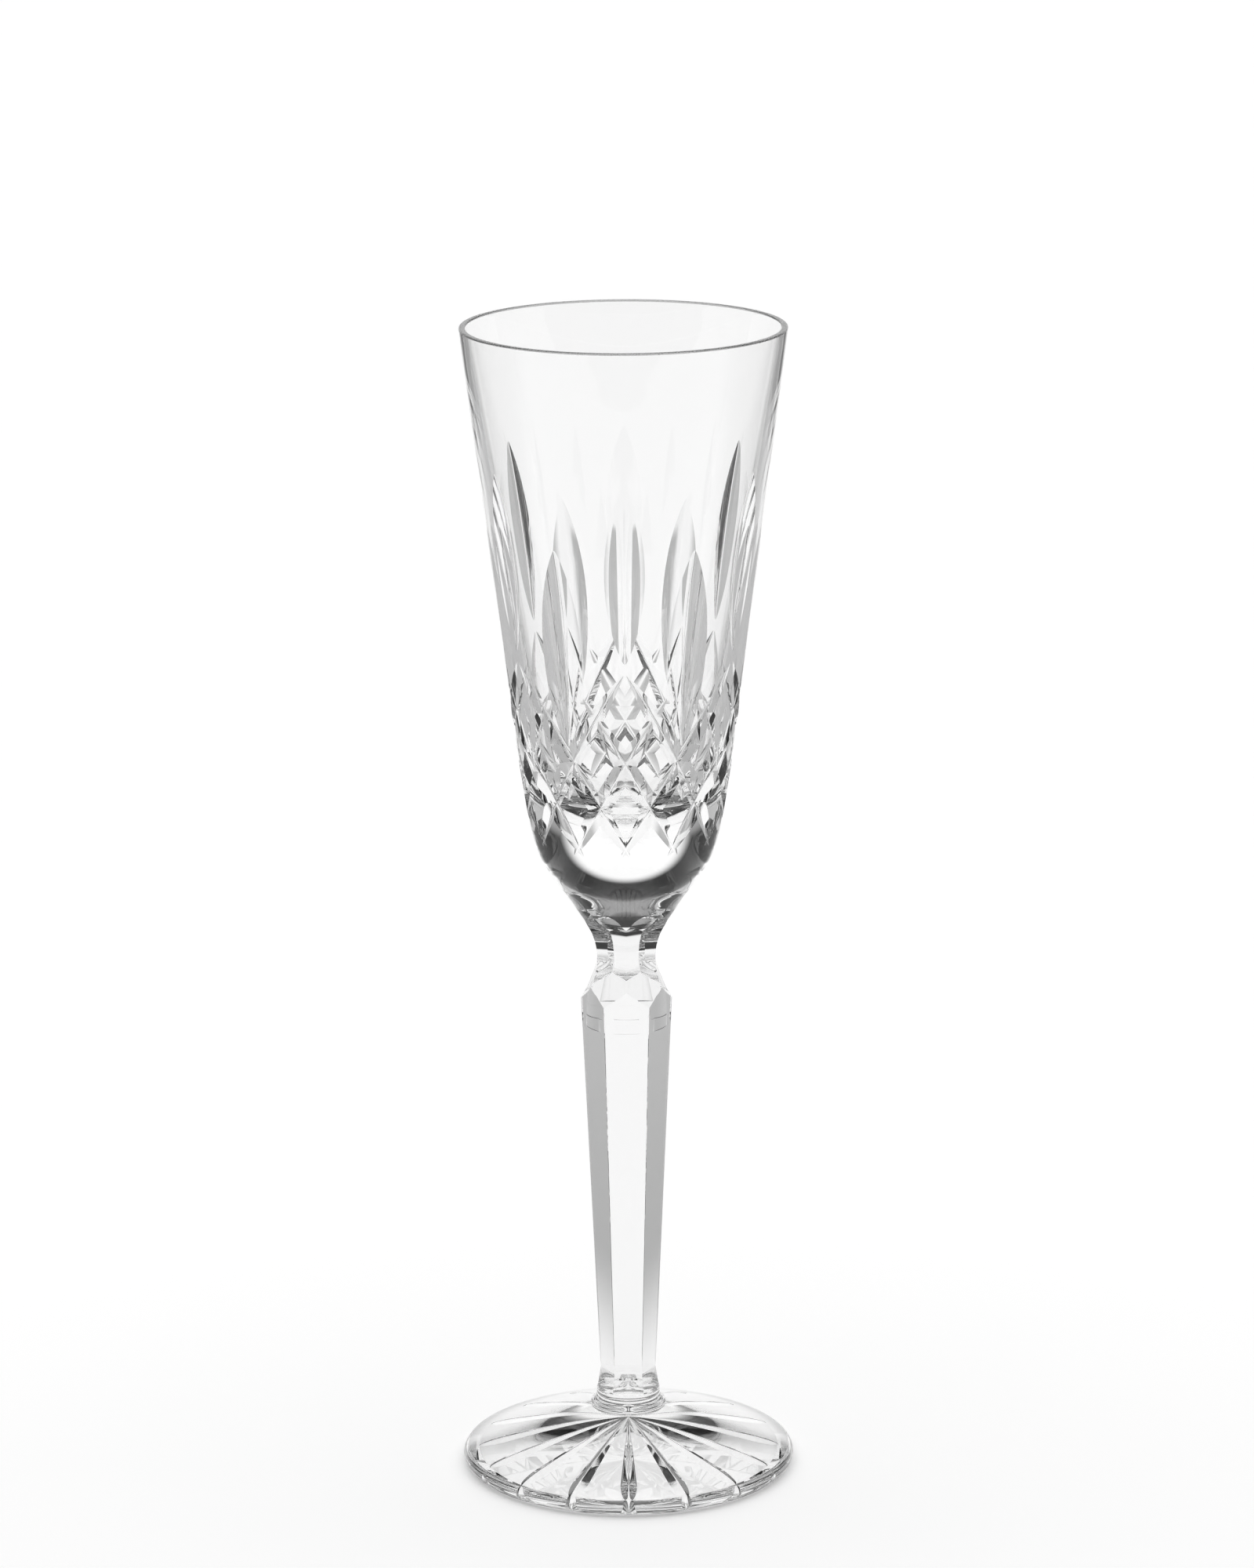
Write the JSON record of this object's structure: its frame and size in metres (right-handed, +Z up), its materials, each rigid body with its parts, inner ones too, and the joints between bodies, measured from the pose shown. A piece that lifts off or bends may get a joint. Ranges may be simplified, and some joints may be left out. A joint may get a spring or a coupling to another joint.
{
  "type": "champagne flute",
  "caption": "Free-standing cut crystal flute: trumpet bowl cut with leaves over a diamond lattice, faceted neck, tapered six-sided stem, round button, conical foot with a star cut beneath.",
  "frame": {"origin": "on the axis of the glass, on the surface that its foot stands on", "axes": "+Z up along the axis of the glass; the -Y side is its front, centred on a long leaf and a flat of the stem"},
  "size_m": [0.065, 0.065, 0.226],
  "materials": {
    "bowl_crystal": "clear polished lead crystal, cut facets acid polished",
    "stem_crystal": "clear polished lead crystal, flat cut facets",
    "button_crystal": "clear fire-polished lead crystal",
    "foot_crystal": "clear fire-polished lead crystal with a polished star cut"
  },
  "bodies": {
    "root": {"bowl": "bowl_crystal", "stem": "stem_crystal", "foot_button": "button_crystal", "foot": "foot_crystal"}
  },
  "joints": []
}
